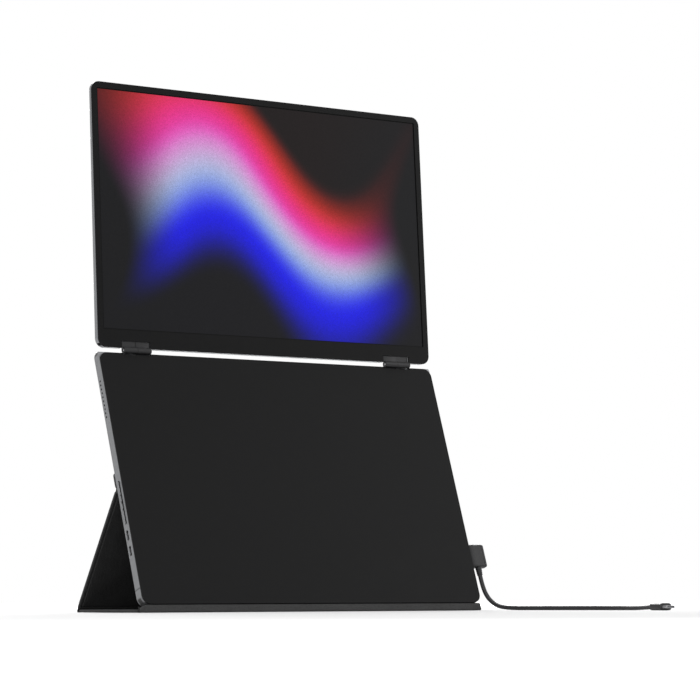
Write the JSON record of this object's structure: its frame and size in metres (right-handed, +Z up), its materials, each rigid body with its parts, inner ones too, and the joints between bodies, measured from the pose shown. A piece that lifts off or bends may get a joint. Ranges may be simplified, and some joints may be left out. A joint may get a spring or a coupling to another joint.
{
  "type": "laptop screen extender",
  "caption": "Stacked portable display hinged on a slim support housing that leans on a folding magnetic cover, with side ports, keys and a short plug-in lead.",
  "frame": {"origin": "centre of the footprint of the housing's foot and the cover's foot, on the surface it stands on", "axes": "+X to the viewer's right, +Y to the back, +Z up; the display faces -Y"},
  "size_m": [0.3875, 0.3647, 0.4667],
  "materials": {
    "aluminium_shell": "satin anodised, dark space grey",
    "black_bezel": "satin black",
    "front_plate": "fine-grained black",
    "screen": "matte anti-glare, showing a soft gradient",
    "light_guide": "clear",
    "steel": "plain",
    "hinge_steel": "black",
    "circuit_board": "green solder mask",
    "port_metal": "nickel",
    "key_metal": "satin anodised face, black sides",
    "speaker_plastic": "matt",
    "foot_rubber": "matt",
    "cover_skin": "fine pebbled black",
    "cover_board": "fibreboard",
    "magnet": "nickel",
    "plug_plastic": "satin dark grey",
    "cable_jacket": "matt"
  },
  "bodies": {
    "support_housing": {"lower_back_shell": "aluminium_shell", "lower_end_cap": "aluminium_shell", "lower_front_plate": "front_plate", "main_board": "circuit_board", "port_board": "circuit_board", "board_screws": "steel", "left_socket_low": "port_metal", "left_socket_high": "port_metal", "right_socket": "port_metal", "key_board": "circuit_board", "speaker_left": "speaker_plastic", "speaker_right": "speaker_plastic", "holding_plate": "steel", "foot_bar": "foot_rubber", "lower_hinge_leaf_left": "hinge_steel", "hinge_pin_left": "steel", "lower_hinge_leaf_right": "hinge_steel", "hinge_pin_right": "steel", "angled_plug_body": "plug_plastic", "angled_plug_shell": "port_metal", "strain_relief": "plug_plastic", "usb_lead": "cable_jacket", "end_plug_body": "plug_plastic", "end_plug_shell": "port_metal"},
    "display_panel": {"display_back_cover": "aluminium_shell", "bezel_frame": "black_bezel", "lcd_panel": "screen", "light_guide": "light_guide", "backlight_tray": "steel", "led_bar": "circuit_board", "driver_board": "circuit_board", "upper_hinge_leaf_left": "hinge_steel", "upper_hinge_leaf_right": "hinge_steel"},
    "base_panel": {"base_panel_skin": "cover_skin", "base_panel_board": "cover_board"},
    "prop_panel": {"prop_panel_skin": "cover_skin", "prop_panel_board": "cover_board"},
    "end_strip": {"end_strip_skin": "cover_skin", "strip_magnets": "magnet"},
    "menu_key": {"menu_key": "key_metal"},
    "volume_up_key": {"volume_up_key": "key_metal"},
    "volume_down_key": {"volume_down_key": "key_metal"}
  },
  "joints": [
    {"name": "screen_hinge", "type": "hinge", "parent": "support_housing", "child": "display_panel", "pos_m": [0, 0.02059, 0.22812], "axis": [1, 0, 0], "range_deg": [-15.9, 164.1]},
    {"name": "base_fold", "type": "hinge", "parent": "support_housing", "child": "base_panel", "pos_m": [0, -0.04615, 0.0013], "axis": [1, 0, 0], "range_deg": [0, 70.5]},
    {"name": "foot_fold", "type": "hinge", "parent": "base_panel", "child": "prop_panel", "pos_m": [0, 0.05825, 0.0013], "axis": [1, 0, 0], "range_deg": [-123.31, 0]},
    {"name": "upper_fold", "type": "hinge", "parent": "prop_panel", "child": "end_strip", "pos_m": [0, -0.0095, 0.1048], "axis": [1, 0, 0], "range_deg": [0, 52.81]},
    {"name": "menu_press", "type": "slide", "parent": "support_housing", "child": "menu_key", "axis": [1, 0, 0], "range_m": [0, 0.0004], "stiffness_N_per_m": 2000},
    {"name": "volume_up_press", "type": "slide", "parent": "support_housing", "child": "volume_up_key", "axis": [1, 0, 0], "range_m": [0, 0.0004], "stiffness_N_per_m": 2000},
    {"name": "volume_down_press", "type": "slide", "parent": "support_housing", "child": "volume_down_key", "axis": [1, 0, 0], "range_m": [0, 0.0004], "stiffness_N_per_m": 2000}
  ],
  "couplings": [
    {"joint": "foot_fold", "follows": "base_fold", "ratio": -1.7476},
    {"joint": "upper_fold", "follows": "base_fold", "ratio": 0.74765}
  ]
}
